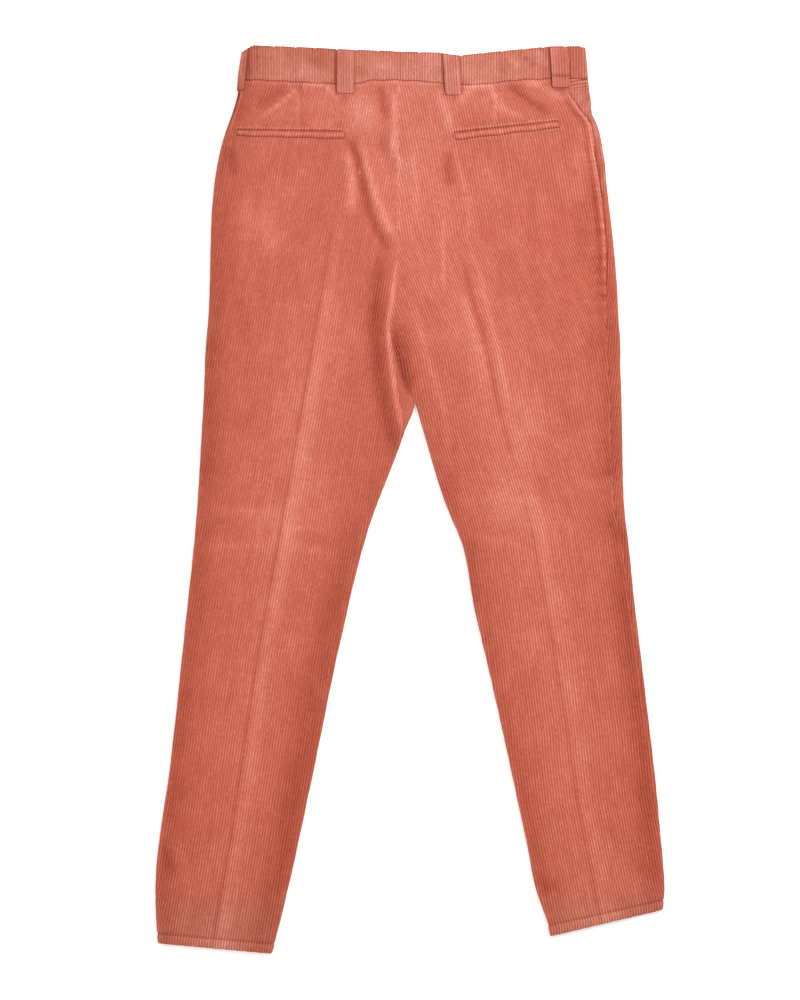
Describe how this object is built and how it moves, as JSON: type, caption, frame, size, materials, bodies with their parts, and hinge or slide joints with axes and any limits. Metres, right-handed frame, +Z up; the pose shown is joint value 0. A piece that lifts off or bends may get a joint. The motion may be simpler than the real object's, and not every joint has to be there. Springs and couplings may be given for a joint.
{
  "type": "corduroy trousers",
  "caption": "Corduroy dress trousers laid flat with the back side up: two flattened legs, a waistband with belt loops, welted back pockets and pressed creases.",
  "frame": {"origin": "middle of the laid garment's outline, on the surface that it lies on", "axes": "+X towards the wearer's right, +Y from the hems to the waist, +Z up, out of the back of the trousers"},
  "size_m": [0.59, 1.05, 0.0128],
  "materials": {
    "corduroy": "wide-wale cotton pile, matt with a soft sheen"
  },
  "bodies": {
    "root": {"back_left": "corduroy", "back_right": "corduroy", "front_left": "corduroy", "front_right": "corduroy", "pocket_facing_left": "corduroy", "pocket_facing_right": "corduroy", "waistband_left": "corduroy", "waistband_right": "corduroy", "back_pocket_welt_left": "corduroy", "back_pocket_welt_right": "corduroy", "belt_loop_back_left": "corduroy", "belt_loop_back_right": "corduroy", "belt_loop_side_left": "corduroy", "belt_loop_side_right": "corduroy", "belt_loop_front_left": "corduroy", "belt_loop_front_right": "corduroy"}
  },
  "joints": []
}
